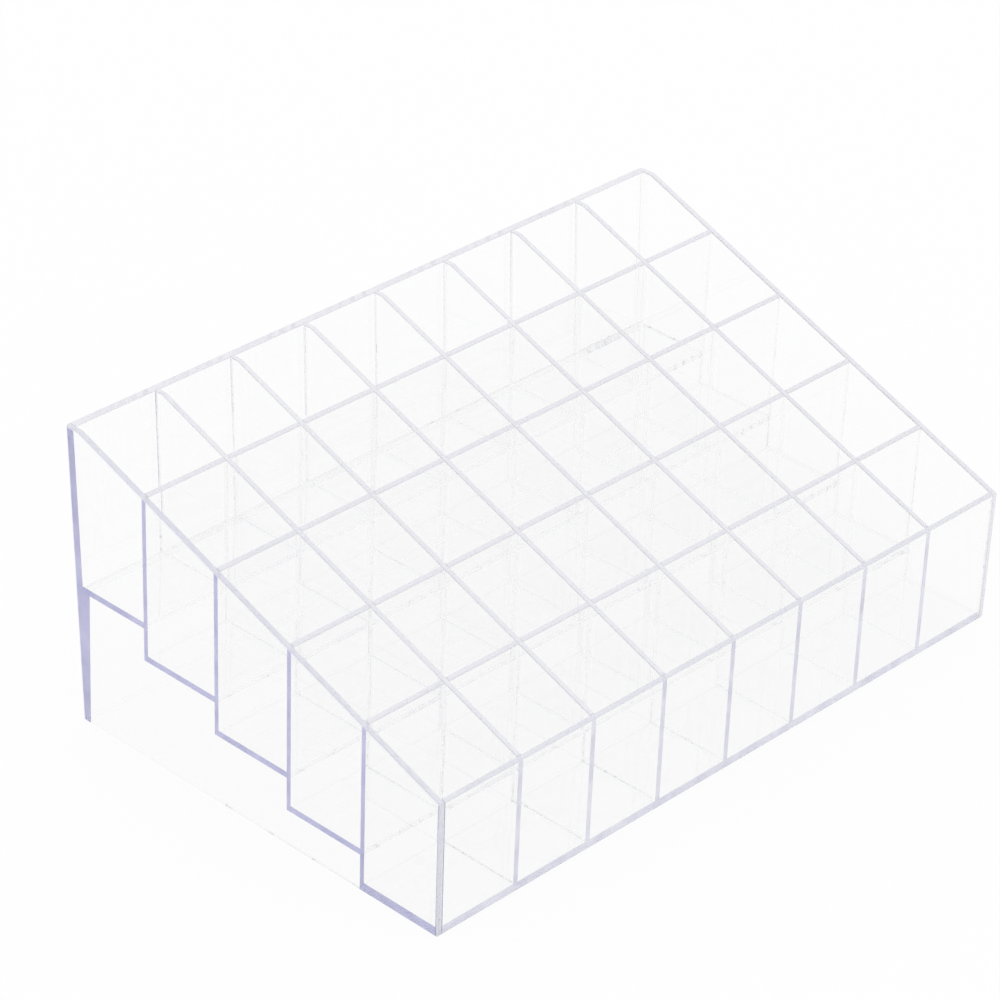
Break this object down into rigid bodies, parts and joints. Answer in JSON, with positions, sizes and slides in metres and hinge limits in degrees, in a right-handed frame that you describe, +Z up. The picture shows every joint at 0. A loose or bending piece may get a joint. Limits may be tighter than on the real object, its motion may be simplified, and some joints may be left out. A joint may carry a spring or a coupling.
{
  "type": "vanity organizer",
  "caption": "Clear stepped vanity organizer: a slanted grid of open square cells on rising floors, for standing lip colours and small cosmetics upright on a table.",
  "frame": {"origin": "middle of the overall width and depth, on the surface that the organizer stands on", "axes": "+X across the width to the right seen from the front, +Y from the low front to the high back, +Z up"},
  "size_m": [0.214, 0.1334, 0.0866],
  "materials": {
    "clear_plastic": "clear, polished, with a faint cool tint that shows at the edges"
  },
  "bodies": {
    "root": {"left_side_panel": "clear_plastic", "right_side_panel": "clear_plastic", "back_panel": "clear_plastic", "front_panel": "clear_plastic", "floor_1": "clear_plastic", "floor_2": "clear_plastic", "floor_3": "clear_plastic", "floor_4": "clear_plastic", "floor_5": "clear_plastic", "row_divider_1": "clear_plastic", "row_divider_2": "clear_plastic", "row_divider_3": "clear_plastic", "row_divider_4": "clear_plastic", "column_divider_1": "clear_plastic", "column_divider_2": "clear_plastic", "column_divider_3": "clear_plastic", "column_divider_4": "clear_plastic", "column_divider_5": "clear_plastic", "column_divider_6": "clear_plastic", "column_divider_7": "clear_plastic"}
  },
  "joints": []
}
